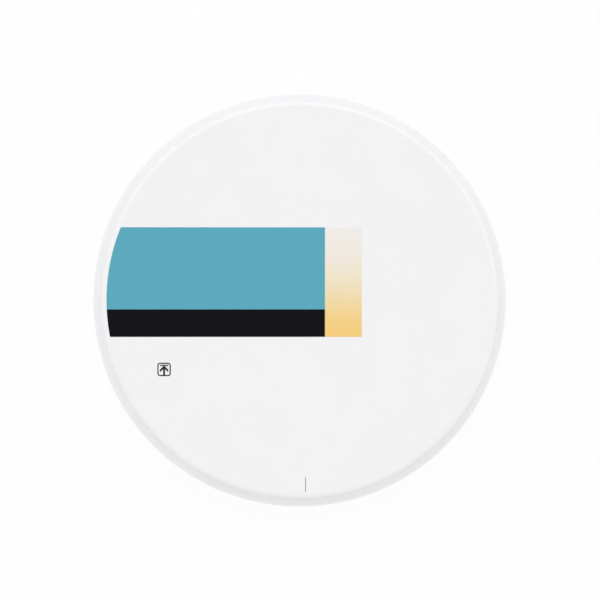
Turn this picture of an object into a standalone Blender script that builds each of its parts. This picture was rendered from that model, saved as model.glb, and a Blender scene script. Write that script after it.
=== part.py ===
"""Dental milling disc: a round blank of chalk-soft zirconia, from which crowns and bridges are milled.

The blank is pressed and turned in one piece. A collar round its middle is what the machine's holder clamps,
and a boss stands above and below it. The upper face carries a printed band in three colours.
The disc lies flat: +Z up, origin at the centre of its underside, +Y towards the top of the print.
"""

import math

import bmesh
import bpy
from mathutils import Vector

# The turned form, in metres
COLLAR_DIAMETER = 0.0985
COLLAR_HEIGHT = 0.0100
BOSS_DIAMETER = 0.0938
UPPER_BOSS_HEIGHT = 0.0050
LOWER_BOSS_HEIGHT = 0.0050
FACE_EDGE_RADIUS = 0.0010
COLLAR_EDGE_RADIUS = 0.0004
ROOT_RADIUS = 0.0004

# The printed band, in metres, placed from the centre of the upper face
BAND_TOP = 0.01724
TEAL_HEIGHT = 0.01942
STRIP_HEIGHT = 0.00651
PANEL_RIGHT = 0.01452
PANEL_WIDTH = 0.00872

# How finely the turned form is divided
STEPS_ROUND = 144
STEPS_FACE_EDGE = 6
STEPS_SMALL_EDGE = 3

# Colours in sRGB
ZIRCONIA_WHITE = (0.961, 0.961, 0.969)
TEAL = (0.357, 0.663, 0.733)
BLACK = (0.086, 0.086, 0.098)
CREAM = (0.937, 0.925, 0.910)
GOLD = (0.961, 0.804, 0.490)
BLANK_ROUGHNESS = 0.7
INK_ROUGHNESS = 0.55

LOWER_SHOULDER = LOWER_BOSS_HEIGHT
UPPER_SHOULDER = LOWER_SHOULDER + COLLAR_HEIGHT
UPPER_FACE = UPPER_SHOULDER + UPPER_BOSS_HEIGHT
STRIP_TOP = BAND_TOP - TEAL_HEIGHT
STRIP_FOOT = STRIP_TOP - STRIP_HEIGHT
PANEL_LEFT = PANEL_RIGHT - PANEL_WIDTH

# The blank's material slots, in order
BARE, INK_TEAL, INK_BLACK, INK_PANEL = range(4)


def linear(colour):
    """An sRGB colour as the linear RGBA that a shader takes."""
    channels = [c / 12.92 if c <= 0.04045 else ((c + 0.055) / 1.055) ** 2.4 for c in colour]
    return (*channels, 1.0)


def matt(name, colour, roughness):
    """A dull, non-metallic material."""
    material = bpy.data.materials.new(name)
    material.use_nodes = True
    material.diffuse_color = linear(colour)
    shader = material.node_tree.nodes["Principled BSDF"]
    shader.inputs["Base Color"].default_value = linear(colour)
    shader.inputs["Roughness"].default_value = roughness
    shader.inputs["Metallic"].default_value = 0.0
    return material


def panel_ink():
    """Ink that is cream at the top of the panel and deepens to gold at its foot."""
    material = matt("ink_panel", GOLD, INK_ROUGHNESS)
    nodes = material.node_tree.nodes
    link = material.node_tree.links.new
    place = nodes.new("ShaderNodeTexCoord")
    axes = nodes.new("ShaderNodeSeparateXYZ")
    depth = nodes.new("ShaderNodeMapRange")
    depth.inputs["From Min"].default_value = BAND_TOP
    depth.inputs["From Max"].default_value = STRIP_FOOT
    blend = nodes.new("ShaderNodeValToRGB")
    blend.color_ramp.elements[0].color = linear(CREAM)
    blend.color_ramp.elements[1].color = linear(GOLD)
    link(place.outputs["Object"], axes.inputs["Vector"])
    link(axes.outputs["Y"], depth.inputs["Value"])
    link(depth.outputs["Result"], blend.inputs["Fac"])
    link(blend.outputs["Color"], nodes["Principled BSDF"].inputs["Base Color"])
    return material


def rounded(corner, before, after, radius, steps):
    """The points of an arc that rounds a right-angled corner between its two neighbours."""
    back = (before - corner).normalized()
    ahead = (after - corner).normalized()
    centre = corner + radius * (back + ahead)
    turns = [math.pi / 2 * step / steps for step in range(steps + 1)]
    return [centre - radius * (ahead * math.cos(turn) + back * math.sin(turn)) for turn in turns]


def half_section():
    """The outline that is turned, in the XZ plane, from the upper face's rim down to the underside's."""
    boss = BOSS_DIAMETER / 2
    collar = COLLAR_DIAMETER / 2
    corners = [
        (boss, UPPER_FACE, FACE_EDGE_RADIUS, STEPS_FACE_EDGE),
        (boss, UPPER_SHOULDER, ROOT_RADIUS, STEPS_SMALL_EDGE),
        (collar, UPPER_SHOULDER, COLLAR_EDGE_RADIUS, STEPS_SMALL_EDGE),
        (collar, LOWER_SHOULDER, COLLAR_EDGE_RADIUS, STEPS_SMALL_EDGE),
        (boss, LOWER_SHOULDER, ROOT_RADIUS, STEPS_SMALL_EDGE),
        (boss, 0.0, FACE_EDGE_RADIUS, STEPS_FACE_EDGE),
    ]
    places = [Vector((reach, 0.0, height)) for reach, height, _, _ in corners]
    stops = [Vector((0.0, 0.0, UPPER_FACE)), *places, Vector((0.0, 0.0, 0.0))]
    outline = []
    for index, (_, _, radius, steps) in enumerate(corners):
        outline += rounded(places[index], stops[index], stops[index + 2], radius, steps)
    return outline


def turn(form):
    """Turns the half section a whole circle about Z and closes the two faces."""
    points = [form.verts.new(point) for point in half_section()]
    edges = [form.edges.new(pair) for pair in zip(points, points[1:])]
    bmesh.ops.spin(
        form,
        geom=points + edges,
        cent=(0.0, 0.0, 0.0),
        axis=(0.0, 0.0, 1.0),
        angle=2 * math.pi,
        steps=STEPS_ROUND,
        use_merge=True,
    )
    rims = [edge for edge in form.edges if edge.is_boundary]
    bmesh.ops.holes_fill(form, edges=rims, sides=0)
    bmesh.ops.recalc_face_normals(form, faces=form.faces)


def upper_face(form):
    """The flat on top, as the regions that it is divided into so far."""
    return [face for face in form.faces if min(corner.co.z for corner in face.verts) > UPPER_FACE - 1e-6]


def divide(form, place, across):
    """Draws one straight border right over the upper face, through a place and square to a direction."""
    regions = upper_face(form)
    edges = {edge for face in regions for edge in face.edges}
    corners = {corner for face in regions for corner in face.verts}
    flat = [*regions, *edges, *corners]
    bmesh.ops.bisect_plane(form, geom=flat, dist=1e-7, plane_co=place, plane_no=across)


def ink_at(x, y):
    """The material slot for a place on the upper face. The band bleeds off the face at the left."""
    if x > PANEL_RIGHT or not STRIP_FOOT < y < BAND_TOP:
        return BARE
    if x > PANEL_LEFT:
        return INK_PANEL
    return INK_TEAL if y > STRIP_TOP else INK_BLACK


def print_band(form):
    """Divides the upper face along the borders of the print and inks the regions between them."""
    for height in (BAND_TOP, STRIP_TOP, STRIP_FOOT):
        divide(form, (0.0, height, UPPER_FACE), (0.0, 1.0, 0.0))
    for side in (PANEL_LEFT, PANEL_RIGHT):
        divide(form, (side, 0.0, UPPER_FACE), (1.0, 0.0, 0.0))
    for region in upper_face(form):
        centre = region.calc_center_median()
        region.material_index = ink_at(centre.x, centre.y)


def shade(form):
    """The flats stay flat, and everything that is turned round is smooth."""
    for face in form.faces:
        face.smooth = abs(face.normal.z) < 0.9999


def milling_blank():
    form = bmesh.new()
    turn(form)
    print_band(form)
    shade(form)
    mesh = bpy.data.meshes.new("milling_blank")
    form.to_mesh(mesh)
    form.free()
    mesh.materials.append(matt("zirconia", ZIRCONIA_WHITE, BLANK_ROUGHNESS))
    mesh.materials.append(matt("ink_teal", TEAL, INK_ROUGHNESS))
    mesh.materials.append(matt("ink_black", BLACK, INK_ROUGHNESS))
    mesh.materials.append(panel_ink())
    mesh.set_sharp_from_angle(angle=math.radians(40))
    blank = bpy.data.objects.new("milling_blank", mesh)
    bpy.context.scene.collection.objects.link(blank)
    return blank


def main():
    for leftover in list(bpy.data.objects):
        bpy.data.objects.remove(leftover, do_unlink=True)
    milling_blank()


main()
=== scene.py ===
# %% [markdown]
# # A dental milling disc
# Crowns and bridges are milled from discs like this one. The real blank is zirconia powder, pressed hard,
# baked just until it holds together like chalk, and then turned to size. A collar round its middle is clamped
# in the milling machine. The boss, which stands above and below the collar, gives the teeth their height. The
# upper face carries a printed band.
#
# The size comes from the packed CAD model, which is loaded first and isn't changed. Each piece here is made
# round it, in the same place and in metres.

# %% Load the frame
import math

import bmesh
import bpy
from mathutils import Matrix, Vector


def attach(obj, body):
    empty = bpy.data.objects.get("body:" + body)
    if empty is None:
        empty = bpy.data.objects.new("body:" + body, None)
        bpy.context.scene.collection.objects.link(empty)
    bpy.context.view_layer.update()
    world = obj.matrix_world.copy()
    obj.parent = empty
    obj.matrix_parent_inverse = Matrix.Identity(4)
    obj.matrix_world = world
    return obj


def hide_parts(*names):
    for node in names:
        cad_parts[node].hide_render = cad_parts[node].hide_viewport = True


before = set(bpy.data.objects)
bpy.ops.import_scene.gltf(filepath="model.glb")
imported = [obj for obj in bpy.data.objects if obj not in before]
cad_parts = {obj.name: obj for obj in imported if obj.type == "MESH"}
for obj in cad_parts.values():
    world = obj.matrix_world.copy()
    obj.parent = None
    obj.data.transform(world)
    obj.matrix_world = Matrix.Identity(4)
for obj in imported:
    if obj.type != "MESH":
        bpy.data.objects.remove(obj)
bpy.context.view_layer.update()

# %% [markdown]
# ## The sizes
# Everything that is turned on a lathe follows from two diameters, two heights and three small radii. A
# holder decides the collar, 98.5 mm by 10 mm. The boss follows from the picture and from the usual thickness
# of such discs. They are named values and not bare numbers, because the print and the camera lean on them
# too.

# %% Sizes of the turned blank
MM = 0.001
COLLAR_DIAMETER = 98.5 * MM
COLLAR_HEIGHT = 10.0 * MM
BOSS_DIAMETER = 93.8 * MM
BOSS_HEIGHT = 5.0 * MM
FACE_EDGE_RADIUS = 1.0 * MM
COLLAR_EDGE_RADIUS = 0.4 * MM
ROOT_RADIUS = 0.4 * MM

UPPER_SHOULDER = BOSS_HEIGHT + COLLAR_HEIGHT
UPPER_FACE = UPPER_SHOULDER + BOSS_HEIGHT
INK_STANDS = 0.02 * MM
CHALK_FACE = UPPER_FACE - INK_STANDS

# %% [markdown]
# ## The camera
# The picture looks almost straight down. A lens held far away keeps the raised face and the collar nearly
# concentric, as they are there. An orthographic camera would too, but a real lens keeps a little perspective,
# so the camera stands 0.7 m up and its lens is long. It leans a hair to the left, which is what sets the
# raised face half a pixel off the middle of the collar. The width that the picture covers at the collar
# decides the focal length.

# %% Camera
SENSOR_WIDTH = 36.0
CAMERA_HEIGHT = 0.7
CAMERA_LEAN = math.radians(1.5)
NEAR_CLIP = 0.01
PICTURE_WIDTH = 143.12 * MM
AIM = Vector((0.01 * MM, 0.04 * MM, UPPER_SHOULDER))

camera_data = bpy.data.cameras.new("copy_stand")
camera_data.sensor_width = SENSOR_WIDTH
camera_data.lens = SENSOR_WIDTH * CAMERA_HEIGHT / PICTURE_WIDTH
camera_data.clip_start = NEAR_CLIP
camera = bpy.data.objects.new("copy_stand", camera_data)
camera.rotation_euler = (0.0, -CAMERA_LEAN, 0.0)
camera.location = AIM + camera.rotation_euler.to_matrix() @ Vector((0.0, 0.0, CAMERA_HEIGHT))
bpy.context.scene.collection.objects.link(camera)
bpy.context.scene.camera = camera
bpy.context.scene.view_settings.view_transform = "Standard"
print("lens", round(camera_data.lens, 1), "mm, at", [round(value, 4) for value in camera.location])

# %% [markdown]
# ## Sums that build their own nodes
# Materials, the sky of the light tent and the turned form are all node trees. Wiring Math nodes by hand is
# slow to write and hard to read, so a `Wire` wraps one socket, and each sum on it adds a Math node. The
# operators have their reflected forms too, so that `1 - wire` works as well as `wire - 1`.

# %% A wire
class Wire:
    """One output socket. Sums with numbers or other wires add Math nodes to its board."""

    def __init__(self, board, socket):
        self.board = board
        self.socket = socket

    def __add__(self, other):
        return self.board.sum("ADD", self, other)

    def __radd__(self, other):
        return self.board.sum("ADD", other, self)

    def __sub__(self, other):
        return self.board.sum("SUBTRACT", self, other)

    def __rsub__(self, other):
        return self.board.sum("SUBTRACT", other, self)

    def __mul__(self, other):
        return self.board.sum("MULTIPLY", self, other)

    def __rmul__(self, other):
        return self.board.sum("MULTIPLY", other, self)

    def __truediv__(self, other):
        return self.board.sum("DIVIDE", self, other)

    def __rtruediv__(self, other):
        return self.board.sum("DIVIDE", other, self)

    def __neg__(self):
        return self.board.sum("MULTIPLY", self, -1.0)

    def output(self, name):
        """Another output of the same node."""
        return Wire(self.board, self.socket.node.outputs[name])


methods = [name.strip("_") for name, value in vars(Wire).items() if callable(value) and name != "__init__"]
print("a wire knows:", ", ".join(methods))

# %% [markdown]
# A `Board` is one tree, and its method `node` makes any node: first its settings, because they can change
# which sockets it has, and then its values and wires. Two settings aren't plain values, the stops of a colour
# ramp and the number of choices of an Index Switch, so each has a method of its own. Colours go through a Mix
# node, because a Math node would turn them grey.

# %% A board
class Board:
    """A node tree that is being built."""

    def __init__(self, tree):
        self.tree = tree
        tree.nodes.clear()

    def plug(self, socket, value):
        """Wires a socket up, or sets its value."""
        if isinstance(value, Wire):
            self.tree.links.new(value.socket, socket)
        else:
            socket.default_value = value

    def node(self, kind, settings=None, sockets=None, out=0):
        """Any node: its settings, then its sockets by name or number, and the output that is wanted."""
        made = self.tree.nodes.new(kind)
        for name, value in (settings or {}).items():
            if name == "stops":
                self.set_stops(made.color_ramp, value)
            elif name == "choices":
                self.add_choices(made.index_switch_items, value)
            else:
                setattr(made, name, value)
        for name, value in (sockets or {}).items():
            self.plug(made.inputs[name], value)
        return Wire(self, made.outputs[out]) if made.outputs else made

    def set_stops(self, ramp, stops):
        """Gives a ramp its stops, each a place from 0 to 1 and a colour."""
        while len(ramp.elements) < len(stops):
            ramp.elements.new(1.0)
        for element, (place, colour) in zip(ramp.elements, stops):
            element.position = place
            element.color = colour

    def add_choices(self, items, count):
        """Adds choices to an Index Switch until it has that many."""
        while len(items) < count:
            items.new()

    def sum(self, operation, first, second=0.0):
        """One Math node."""
        return self.node("ShaderNodeMath", {"operation": operation}, {0: first, 1: second})

    def axes(self, vector):
        """The three parts of a vector."""
        split = self.node("ShaderNodeSeparateXYZ", sockets={"Vector": vector})
        return [split.output(name) for name in "XYZ"]

    def colours(self, first, second, share):
        """A colour between two colours. A Mix node keeps its sockets for colours behind those for numbers."""
        return self.node("ShaderNodeMix", {"data_type": "RGBA"}, {0: share, 6: first, 7: second}, out=2)


print("a board knows:", ", ".join(name for name in vars(Board) if not name.startswith("_")))

# %% [markdown]
# Colours are easiest to judge as they are seen on a screen, but nodes take linear light, in which all but
# black and white have smaller numbers. The sRGB curve leads from the one to the other.

# %% Colours as they are seen
WHITE = (1.0, 1.0, 1.0, 1.0)


def linear(red, green, blue):
    """A colour as it is seen on the screen, 0 to 255, as the linear RGBA that nodes take."""
    light = []
    for value in (red, green, blue):
        share = value / 255
        light.append(share / 12.92 if share <= 0.04045 else ((share + 0.055) / 1.055) ** 2.4)
    return (*light, 1.0)


print("white of 242 is", round(linear(242, 242, 242)[0], 3), "in linear light")

# %% [markdown]
# ## A tent of light
# Small white goods are photographed in a light tent, a box of white cloth that is lit from outside. The light
# comes from everywhere, a little more from high on the far side, so the far rim is bright and the near rim is
# grey. Lamps alone would leave hard spots and edges of shadows, so here the world itself is the tent. Its
# brightness follows the direction that is looked in: a plain level, a share that grows towards the far side
# and upwards, and a brighter skirt just above the table, which lights the upright walls as much as the flats.
# With the far share down at the table, the walls on that side would be burnt out to plain white.
#
# The camera sees plain white behind the disc instead of the cloth, and so do gloss and clear bodies.

# %% The tent
TENT_LEVEL = 0.96
TENT_FAR_SIDE = 0.50
TENT_SKIRT = 0.36
SKIRT_FALL = 4.0


def looked_at(board):
    """1 for what the camera sees, straight or by way of a gloss or a clear body, and else 0."""
    path = board.node("ShaderNodeLightPath")
    kinds = ("Is Camera Ray", "Is Glossy Ray", "Is Transmission Ray")
    straight, by_gloss, through = [path.output(kind) for kind in kinds]
    return board.sum("MINIMUM", straight + by_gloss + through, 1.0)


world = bpy.data.worlds.new("light_tent")
world.use_nodes = True
bpy.context.scene.world = world
tent = Board(world.node_tree)
direction = tent.node("ShaderNodeTexCoord").output("Generated")
_, towards_far, upwards = tent.axes(direction)
skirt = tent.sum("POWER", 1 - tent.sum("ABSOLUTE", upwards), SKIRT_FALL)
brightness = TENT_LEVEL + towards_far * upwards * TENT_FAR_SIDE + skirt * TENT_SKIRT
cloth = tent.node("ShaderNodeBackground", sockets={"Color": WHITE, "Strength": brightness})
backdrop = tent.node("ShaderNodeBackground", sockets={"Color": WHITE, "Strength": 1.0})
shown = tent.node("ShaderNodeMixShader", sockets={0: looked_at(tent), 1: cloth, 2: backdrop})
tent.node("ShaderNodeOutputWorld", sockets={"Surface": shown})
print("tent: overhead", TENT_LEVEL, "just above the table", round(TENT_LEVEL + TENT_SKIRT, 2))

# %% [markdown]
# ## The table
# The disc lies on a white table. To the camera it is nearly pure white, as in the picture, but a part of it
# stays plain matt white, which keeps the soft shadow under the collar.

# %% Table paint
TABLE_WHITE = linear(250, 250, 250)
TABLE_SHADOW = 0.10

table_paint = bpy.data.materials.new("table_white")
table_paint.use_nodes = True
coat = Board(table_paint.node_tree)
matt = coat.node("ShaderNodeBsdfDiffuse", sockets={"Color": TABLE_WHITE})
glow = coat.node("ShaderNodeEmission", sockets={"Color": WHITE, "Strength": 1.0})
share = looked_at(coat) * (1 - TABLE_SHADOW)
paint = coat.node("ShaderNodeMixShader", sockets={0: share, 1: matt, 2: glow})
coat.node("ShaderNodeOutputMaterial", sockets={"Surface": paint})
print("table paint of", len(coat.tree.nodes), "nodes")

# %% [markdown]
# A plane would do for the table, but a round sheet shows no corners. It is wide enough for its edge to be
# lost in the white of the tent, and it lies a hair below the disc, so that the two don't share a plane.

# %% Table
TABLE_RADIUS = 4.0
TABLE_CORNERS = 96
TABLE_DROP = 0.05 * MM


def mesh_object(name, form, material):
    """A finished object at the origin from a bmesh, which is used up."""
    mesh = bpy.data.meshes.new(name)
    form.to_mesh(mesh)
    form.free()
    mesh.materials.append(material)
    made = bpy.data.objects.new(name, mesh)
    bpy.context.scene.collection.objects.link(made)
    return made


sheet = bmesh.new()
bmesh.ops.create_circle(sheet, cap_ends=True, segments=TABLE_CORNERS, radius=TABLE_RADIUS)
bmesh.ops.translate(sheet, verts=sheet.verts, vec=(0.0, 0.0, -TABLE_DROP))
table = mesh_object("table", sheet, table_paint)
print("table", 2 * TABLE_RADIUS, "m across")

# %% [markdown]
# ## Chalk-soft zirconia
# Before its last firing zirconia is dull, dense chalk: cool white, without gloss, and smooth to the eye.
# Close to, it has three things that a flat colour lacks. The powder gives it a grain of a tenth of a
# millimetre. The pressing leaves clouds a few millimetres wide that are a shade lighter or darker. And the
# lathe leaves rings on the faces and threads of light on the walls, each about as wide as the tool moved in
# one turn.
#
# The rings could be an image, but a pattern that follows the distance from the axis and the height fits the
# form from every side, and it can't slide. All of it is so faint that the disc stays white from a step away.

# %% Powder, clouds and lathe rings
POWDER_GRAIN = 0.12 * MM
CLOUD_WIDTH = 6 * MM
LATHE_FEED = 0.35 * MM
RING_WOBBLE = 9 * MM
RING_FADE = 14 * MM
FACE_RINGS = 0.25
WALLS_FROM = BOSS_DIAMETER / 2 - 0.4 * FACE_EDGE_RADIUS


def grain(board, place, size, detail=2.0, roughness=0.5):
    """Noise from 0 to 1 whose lumps are about as wide as the size."""
    sockets = {"Vector": place, "Scale": 0.5 / size, "Detail": detail, "Roughness": roughness}
    return board.node("ShaderNodeTexNoise", sockets=sockets)


def lathe_rings(board, place):
    """Uneven rings from 0 to 1 by distance from the axis and height, faint on the faces."""
    x, y, z = board.axes(place)
    reach = board.sum("SQRT", x * x + y * y)
    along = (reach + z) / LATHE_FEED
    wobble = grain(board, place, RING_WOBBLE) * 0.5
    wave = board.sum("SINE", (along + wobble) * (2 * math.pi))
    on_wall = board.sum("GREATER_THAN", reach, WALLS_FROM)
    depth = FACE_RINGS + on_wall * (1 - FACE_RINGS)
    return (wave * 0.5 + 0.5) * grain(board, place, RING_FADE) * depth


print("rings", round(LATHE_FEED / MM, 2), "mm apart, deepest beyond", round(WALLS_FROM / MM, 1), "mm")

# %% [markdown]
# Clouds and powder decide together how far a spot lies from the shaded tone to the light one. Both tones are
# written a shade lighter than the face looks, because the tent is lit a little under full. Powder and rings
# stand in relief too, but only by hundredths of a millimetre, so bump does for them and the mesh stays light.

# %% Zirconia
CHALK = linear(247, 247, 248)
CHALK_SHADE = linear(241, 241, 243)
CLOUD_TONE = 0.5
POWDER_TONE = 0.7
TONE_SHIFT = 0.1
CHALK_RELIEF = 0.02 * MM
CHALK_BUMP = 0.8
RING_RELIEF = 1.5
CHALK_ROUGHNESS = 0.62
POWDER_ROUGHNESS = 0.14
CHALK_GLOSS = 0.2


def finished(name):
    """A new material and its board, with Object coordinates."""
    material = bpy.data.materials.new(name)
    material.use_nodes = True
    board = Board(material.node_tree)
    return material, board, board.node("ShaderNodeTexCoord").output("Object")


def surface(board, sockets):
    """Closes a board with a Principled shader."""
    shader = board.node("ShaderNodeBsdfPrincipled", sockets=sockets)
    board.node("ShaderNodeOutputMaterial", sockets={"Surface": shader})


chalk, blank_board, spot = finished("zirconia_chalk")
powder = grain(blank_board, spot, POWDER_GRAIN, detail=3.0)
clouds = grain(blank_board, spot, CLOUD_WIDTH, detail=3.0, roughness=0.55)
rings = lathe_rings(blank_board, spot)
shade = clouds * CLOUD_TONE + powder * POWDER_TONE - TONE_SHIFT
bumps = {"Strength": CHALK_BUMP, "Distance": CHALK_RELIEF, "Height": powder + rings * RING_RELIEF}
relief = blank_board.node("ShaderNodeBump", sockets=bumps)
surface(blank_board, {
    "Base Color": blank_board.colours(CHALK_SHADE, CHALK, shade),
    "Roughness": CHALK_ROUGHNESS + powder * POWDER_ROUGHNESS,
    "Specular IOR Level": CHALK_GLOSS,
    "Normal": relief,
})
chalk.diffuse_color = CHALK
print("zirconia", [round(value, 3) for value in CHALK[:3]])

# %% [markdown]
# ## Printing inks
# The band is printed with matt pigment inks that dry into the open surface of the blank. An ink like that is
# even from a step away. Close to, its tone varies slightly, the powder's grain shows through, and here and
# there a pinhole was missed by the print. One function gives every ink those marks, and the pinholes are the
# dark heart of a Voronoi cell, in only some cells.

# %% Inks
PINHOLE_SPACING = 0.9 * MM
PINHOLE_RADIUS = 0.04 * MM
PINHOLE_CHANCE = 0.18
PINHOLE_SHOWS = 0.2
PATCH_WIDTH = 3 * MM
PATCH_TONE = 0.10
GRAIN_TONE = 0.06
INK_RELIEF = 0.008 * MM
INK_BUMP = 0.3
INK_ROUGHNESS = 0.58
GRAIN_ROUGHNESS = 0.12


def pinholes(board, place):
    """1 in the few spots that the ink has missed, and else 0."""
    cells = board.node("ShaderNodeTexVoronoi", sockets={"Vector": place, "Scale": 1 / PINHOLE_SPACING})
    chance = board.axes(cells.output("Color"))[0]
    inside = board.sum("LESS_THAN", cells.output("Distance") * PINHOLE_SPACING, PINHOLE_RADIUS)
    return inside * board.sum("LESS_THAN", chance, PINHOLE_CHANCE)


def ink(name, colour_of, deeper, gloss):
    """A matt ink. Its colour comes from a function, so that it can be plain or a blend."""
    material, board, place = finished(name)
    colour = colour_of(board, place)
    patches = grain(board, place, PATCH_WIDTH, detail=3.0)
    powder = grain(board, place, POWDER_GRAIN, detail=3.0)
    toned = board.colours(colour, deeper, patches * PATCH_TONE + powder * GRAIN_TONE)
    pierced = board.colours(toned, CHALK, pinholes(board, place) * PINHOLE_SHOWS)
    bumps = {"Strength": INK_BUMP, "Distance": INK_RELIEF, "Height": powder}
    relief = board.node("ShaderNodeBump", sockets=bumps)
    surface(board, {
        "Base Color": pierced,
        "Roughness": INK_ROUGHNESS + powder * GRAIN_ROUGHNESS,
        "Specular IOR Level": gloss,
        "Normal": relief,
    })
    material.diffuse_color = deeper
    return material


def plain(colour):
    """The function of an ink that has one colour all over."""
    return lambda board, place: colour


teal_ink = ink("ink_teal", plain(linear(92, 172, 190)), deeper=linear(70, 150, 170), gloss=0.12)
black_ink = ink("ink_black", plain(linear(18, 19, 24)), deeper=linear(8, 8, 10), gloss=0.04)
grey_ink = ink("ink_grey", plain(linear(46, 47, 52)), deeper=linear(30, 31, 35), gloss=0.06)
print("inks", teal_ink.name, black_ink.name, grey_ink.name)

# %% [markdown]
# The panel at the right end of the band runs from cream at the top to gold at the foot. Printers call that a
# split fountain, two inks that run together. Here a colour ramp follows the height on the face, so the blend
# stays with the panel wherever the disc goes. Its first stop is at the top of the band and its last at the
# foot. The upper half hardly changes, and the lower half deepens quickly.

# %% Cream to gold
BAND_TOP = 17.24 * MM
STRIP_TOP = -2.18 * MM
STRIP_FOOT = -8.69 * MM
PANEL_STOPS = [
    (0.00, linear(242, 241, 241)),
    (0.28, linear(243, 236, 226)),
    (0.45, linear(243, 232, 208)),
    (0.66, linear(244, 221, 171)),
    (0.83, linear(246, 211, 137)),
    (1.00, linear(248, 206, 120)),
]


def cream_to_gold(board, place):
    """The panel's colour, by how far a spot lies below the top of the band."""
    height = board.axes(place)[1]
    depth = (BAND_TOP - height) / (BAND_TOP - STRIP_FOOT)
    return board.node("ShaderNodeValToRGB", {"stops": PANEL_STOPS}, {"Fac": depth})


gold_ink = ink("ink_gold", cream_to_gold, deeper=linear(232, 208, 160), gloss=0.12)
print("panel blends over", round((BAND_TOP - STRIP_FOOT) / MM, 2), "mm")

# %% [markdown]
# ## Turning the blank
# On a lathe the blank is one half section swept round an axis, and that is how it is made here. Geometry
# Nodes suit it, because the form follows a rule from a few sizes: eight corners make the half section, a
# fillet rounds each corner by its own radius, and the section is swept round a circle. The circle is small,
# and the section is shifted by its radius, so that its two ends meet on the axis and close both faces.
#
# The upper face lies a hair lower than the CAD's top, by the thickness of the ink, so that the ink ends just
# where the CAD does.

# %% The lathe tree
SIZES = {
    "Collar Diameter": COLLAR_DIAMETER,
    "Collar Height": COLLAR_HEIGHT,
    "Boss Diameter": BOSS_DIAMETER,
    "Upper Boss Height": BOSS_HEIGHT - INK_STANDS,
    "Lower Boss Height": BOSS_HEIGHT,
    "Face Edge Radius": FACE_EDGE_RADIUS,
    "Collar Edge Radius": COLLAR_EDGE_RADIUS,
    "Root Radius": ROOT_RADIUS,
}


def lathe_group():
    """The tree with its named inputs, its board, and a wire for each input."""
    group = bpy.data.node_groups.new("lathe", "GeometryNodeTree")
    for name in SIZES:
        socket = group.interface.new_socket(name=name, in_out="INPUT", socket_type="NodeSocketFloat")
        socket.subtype = "DISTANCE"
    group.interface.new_socket(name="Geometry", in_out="OUTPUT", socket_type="NodeSocketGeometry")
    board = Board(group)
    entry = board.node("NodeGroupInput")
    return group, board, {name: entry.output(name) for name in SIZES}


group, lathe, size = lathe_group()
print("lathe inputs:", ", ".join(size))

# %% [markdown]
# The half section starts on the axis at the upper face and walks down to the axis at the underside. An Index
# Switch hands each of the eight points its own distance from the axis, height and rounding. The height is
# negative because the sweep turns it upside down.

# %% The half section
SPINDLE_RADIUS = 10 * MM
STEPS_CORNER = 12

boss = size["Boss Diameter"] / 2
collar = size["Collar Diameter"] / 2
lower = size["Lower Boss Height"]
upper = lower + size["Collar Height"]
top = upper + size["Upper Boss Height"]
face_edge, collar_edge, root = size["Face Edge Radius"], size["Collar Edge Radius"], size["Root Radius"]

reaches = [0.0, boss, boss, collar, collar, boss, boss, 0.0]
heights = [top, top, upper, upper, lower, lower, 0.0, 0.0]
roundings = [0.0, face_edge, root, collar_edge, collar_edge, root, face_edge, 0.0]


def by_point(values):
    """One value for each point of the section, in order."""
    sockets = {"Index": lathe.node("GeometryNodeInputIndex")}
    sockets.update({number + 1: value for number, value in enumerate(values)})
    return lathe.node("GeometryNodeIndexSwitch", {"data_type": "FLOAT", "choices": len(values)}, sockets)


across = by_point(reaches) - SPINDLE_RADIUS
corner = lathe.node("ShaderNodeCombineXYZ", sockets={"X": across, "Y": -by_point(heights)})
corners = lathe.node("GeometryNodePoints", sockets={"Count": len(reaches), "Position": corner})
outline = lathe.node("GeometryNodePointsToCurves", sockets={0: corners})
section = lathe.node(
    "GeometryNodeFilletCurve",
    {"mode": "POLY"},
    {"Curve": outline, "Count": STEPS_CORNER - 1, "Radius": by_point(roundings)},
)
print("half section of", len(reaches), "corners,", STEPS_CORNER, "steps to a rounding")

# %% [markdown]
# Curve to Mesh sweeps the section round the circle. Each end of the section then lies on the axis once for
# every step round, so points that coincide are merged, which closes both faces. What points straight up or
# down stays flat-shaded, and the rest is shaded smooth.

# %% Sweep, close and shade
STEPS_ROUND = 360
MERGE_DISTANCE = 0.001 * MM
FLAT_TILT = 0.9999

circle = {"Resolution": STEPS_ROUND, "Radius": SPINDLE_RADIUS}
spindle = lathe.node("GeometryNodeCurvePrimitiveCircle", sockets=circle)
swept = lathe.node("GeometryNodeCurveToMesh", sockets={"Curve": spindle, "Profile Curve": section})
closed = lathe.node("GeometryNodeMergeByDistance", sockets={"Geometry": swept, "Distance": MERGE_DISTANCE})
tilt = lathe.axes(lathe.node("GeometryNodeInputNormal"))[2]
turned = lathe.sum("LESS_THAN", lathe.sum("ABSOLUTE", tilt), FLAT_TILT)
shaded = lathe.node("GeometryNodeSetShadeSmooth", sockets={"Geometry": closed, "Shade Smooth": turned})
solid = lathe.node("GeometryNodeRealizeInstances", sockets={"Geometry": shaded})
dressed = lathe.node("GeometryNodeSetMaterial", sockets={"Geometry": solid, "Material": chalk})
lathe.node("NodeGroupOutput", sockets={"Geometry": dressed})
print("lathe tree of", len(group.nodes), "nodes")

# %% [markdown]
# The tree runs as a modifier on an object with an empty mesh. Its inputs are set by the sockets' identifiers,
# because a modifier doesn't know them by name. The result is copied to a plain mesh, which needs no tree.

# %% Run the tree
CM = 10 * MM


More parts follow.
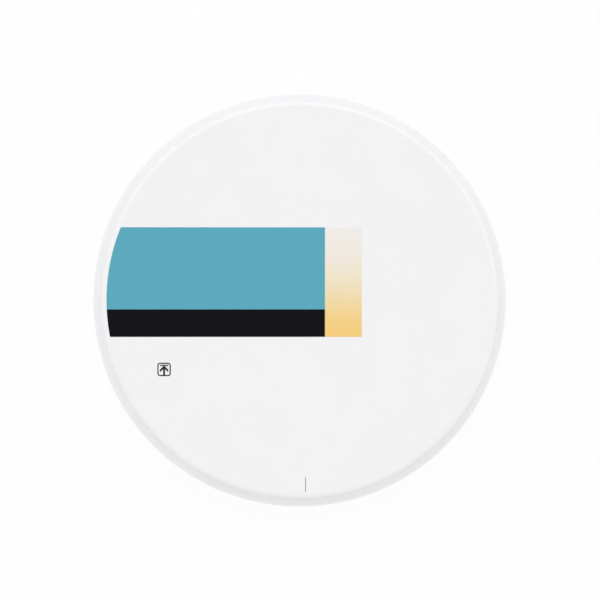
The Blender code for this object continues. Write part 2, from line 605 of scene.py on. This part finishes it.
def run_tree(name, group, values):
    """Runs a tree on an empty mesh and keeps the result as a plain mesh."""
    seed = bpy.data.objects.new(name, bpy.data.meshes.new(name + "_seed"))
    bpy.context.scene.collection.objects.link(seed)
    modifier = seed.modifiers.new(group.name, "NODES")
    modifier.node_group = group
    for socket in group.interface.items_tree:
        if socket.in_out == "INPUT":
            modifier[socket.identifier] = values[socket.name]
    graph = bpy.context.evaluated_depsgraph_get()
    mesh = bpy.data.meshes.new_from_object(seed.evaluated_get(graph), depsgraph=graph)
    mesh.name = name
    seed.modifiers.clear()
    seed.data = mesh
    return seed


blank = run_tree("turned_blank", group, SIZES)
probe = bmesh.new()
probe.from_mesh(blank.data)
volume = probe.calc_volume(signed=True) / CM**3
open_edges = sum(not edge.is_manifold for edge in probe.edges)
probe.free()
print("turned blank:", len(blank.data.polygons), "faces,", round(volume, 1), "cm3,", open_edges, "open edges")
print("turned blank wears", [material.name for material in blank.data.materials])

# %% [markdown]
# ## The printed band
# A teal field, a black strip along its foot and a panel at the right end. At the left both run off to
# the rim and end in an arc. On the real disc the ink is a few hundredths of a millimetre thick and has
# soaked a little way in. Paint on the blank's own material would look the same from afar, but films of their
# own can each be given another ink, and their borders stay sharp at any distance. Each one reaches a hair
# below the chalk's surface, so that its foot and the chalk don't share a plane.

# %% Ink films
INK_SOAKS = 0.02 * MM
INK_FOOT = CHALK_FACE - INK_SOAKS
INK_HEAD = UPPER_FACE


def film(form, outline):
    """Adds a flat film of ink with that outline, given anticlockwise, and hands the form back."""
    foot = [form.verts.new((x, y, INK_FOOT)) for x, y in outline]
    head = [form.verts.new((x, y, INK_HEAD)) for x, y in outline]
    form.faces.new(reversed(foot))
    form.faces.new(head)
    for here in range(len(outline)):
        there = (here + 1) % len(outline)
        form.faces.new((foot[here], foot[there], head[there], head[here]))
    return form


def printed(name, form, material):
    """A piece from a form of ink films, with its faces turned outwards."""
    bmesh.ops.recalc_face_normals(form, faces=form.faces)
    piece = mesh_object(name, form, material)
    print(name, [round(side / MM, 2) for side in piece.dimensions], "mm")
    return piece


print("ink from", round(INK_FOOT / MM, 2), "to", round(INK_HEAD / MM, 2), "mm up")

# %% [markdown]
# The teal field and the black strip share one function, because both are cut from the same round face: an arc
# a hair inside the flat of the face, and a straight border at the panel.

# %% Teal, black and gold
INK_MARGIN = 0.02 * MM
INK_REACH = BOSS_DIAMETER / 2 - FACE_EDGE_RADIUS - INK_MARGIN
PANEL_RIGHT = 14.52 * MM
PANEL_LEFT = 5.80 * MM
ARC_STEPS = 40


def field(upper, lower):
    """The outline of a field between two heights, from the rim at the left to the panel."""
    first, last = math.asin(upper / INK_REACH), math.asin(lower / INK_REACH)
    turns = [math.pi - first - (last - first) * step / ARC_STEPS for step in range(ARC_STEPS + 1)]
    arc = [(INK_REACH * math.cos(turn), INK_REACH * math.sin(turn)) for turn in turns]
    return [*arc, (PANEL_LEFT, lower), (PANEL_LEFT, upper)]


def rectangle(left, right, foot, head):
    """An anticlockwise outline."""
    return [(left, foot), (right, foot), (right, head), (left, head)]


teal = printed("teal_field", film(bmesh.new(), field(BAND_TOP, STRIP_TOP)), teal_ink)
strip = printed("black_strip", film(bmesh.new(), field(STRIP_TOP, STRIP_FOOT)), black_ink)
panel_outline = rectangle(PANEL_LEFT, PANEL_RIGHT, STRIP_FOOT, BAND_TOP)
panel = printed("gold_panel", film(bmesh.new(), panel_outline), gold_ink)

# %% [markdown]
# ## The small marks
# Near the left rim a square with an arrow tells which side faces up. Curves with a thickness could draw it,
# but it is only a few straight lines and round corners, so outlines worked out from their sizes give the
# cleaner mesh. Each outline becomes a film as above, and the square is a band between two rounded outlines.

# %% The square of the facing mark
MARK_CENTRE = (-32.28 * MM, -16.38 * MM)
MARK_SIDE = 2.89 * MM
MARK_LINE = 0.28 * MM
MARK_CORNER = 0.5 * MM
CORNER_STEPS = 6


def at_mark(outline):
    """Moves an outline that is drawn about the origin to the mark's place."""
    return [(MARK_CENTRE[0] + x, MARK_CENTRE[1] + y) for x, y in outline]


def rounded_square(side, corner):
    """An anticlockwise outline with rounded corners, about the origin."""
    inner = side / 2 - corner
    outline = []
    for quarter, (across, up) in enumerate(((1, 1), (-1, 1), (-1, -1), (1, -1))):
        for step in range(CORNER_STEPS + 1):
            turn = math.pi / 2 * (quarter + step / CORNER_STEPS)
            outline.append((across * inner + corner * math.cos(turn), up * inner + corner * math.sin(turn)))
    return outline


def ring_film(form, outer, inner):
    """Adds a film between two outlines of as many points each, and hands the form back."""
    edges = ((outer, INK_FOOT), (outer, INK_HEAD), (inner, INK_HEAD), (inner, INK_FOOT))
    loops = [[form.verts.new((x, y, height)) for x, y in outline] for outline, height in edges]
    for first, second in zip(loops, loops[1:] + loops[:1]):
        for here in range(len(outer)):
            there = (here + 1) % len(outer)
            form.faces.new((first[here], first[there], second[there], second[here]))
    return form


outer_square = rounded_square(MARK_SIDE + MARK_LINE, MARK_CORNER + MARK_LINE / 2)
inner_square = rounded_square(MARK_SIDE - MARK_LINE, MARK_CORNER - MARK_LINE / 2)
mark = ring_film(bmesh.new(), at_mark(outer_square), at_mark(inner_square))
print("square", round(MARK_SIDE / MM, 2), "mm with lines of", round(MARK_LINE / MM, 2), "mm")

# %% [markdown]
# The arrow points up at a bar and touches it. Drawn as two films, the tip and the bar would lie in one plane
# where they cross and would flicker there, so one outline goes round both. Its two flanks are mirror images,
# so one function gives either.

# %% The arrow and its bar
BAR_LEFT = -0.93 * MM
BAR_RIGHT = 0.99 * MM
BAR_FOOT = 0.80 * MM
BAR_HEAD = 1.07 * MM
ARROW_TIP = 0.92 * MM
ARROW_SLOPE = 0.97
WING_REACH = 0.98 * MM
WING_DEPTH = 0.64 * MM
SHAFT_REACH = 0.23 * MM
SHAFT_FOOT = -1.30 * MM


def flank(side):
    """The right (1) or left (-1) flank, from the bar's foot down to the shaft's, about the origin."""
    wing_tip = ARROW_TIP - WING_REACH * ARROW_SLOPE
    armpit = ARROW_TIP - SHAFT_REACH * ARROW_SLOPE - WING_DEPTH
    return [
        (side * (ARROW_TIP - BAR_FOOT) / ARROW_SLOPE, BAR_FOOT),
        (side * WING_REACH, wing_tip),
        (side * WING_REACH, wing_tip - WING_DEPTH),
        (side * SHAFT_REACH, armpit),
        (side * SHAFT_REACH, SHAFT_FOOT),
    ]


bar = [(BAR_RIGHT, BAR_FOOT), (BAR_RIGHT, BAR_HEAD), (BAR_LEFT, BAR_HEAD), (BAR_LEFT, BAR_FOOT)]
arrow = [*bar, *flank(-1), *reversed(flank(1))]
facing_mark = printed("facing_mark", film(mark, at_mark(arrow)), grey_ink)

# %% [markdown]
# A hairline at the near rim marks the disc's zero direction. It is as plain as a film gets, a line a tenth of
# a millimetre wide.

# %% Zero line
ZERO_X = 1.20 * MM
ZERO_TOP = -41.95 * MM
ZERO_FOOT = -45.35 * MM
ZERO_WIDTH = 0.11 * MM

hairline = rectangle(ZERO_X - ZERO_WIDTH / 2, ZERO_X + ZERO_WIDTH / 2, ZERO_FOOT, ZERO_TOP)
zero_line = printed("zero_line", film(bmesh.new(), hairline), grey_ink)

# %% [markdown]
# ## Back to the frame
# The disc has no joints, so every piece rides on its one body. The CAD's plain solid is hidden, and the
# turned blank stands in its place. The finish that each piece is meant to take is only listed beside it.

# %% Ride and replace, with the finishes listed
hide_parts("milling_blank")
finishes = {
    blank: "zirconia",
    teal: "ink_teal",
    strip: "ink_black",
    panel: "ink_gold",
    facing_mark: "ink_grey",
    zero_line: "ink_grey",
}
for piece, finish in finishes.items():
    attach(piece, "root")
print(len(finishes), "pieces ride on the disc")

# %% [markdown]
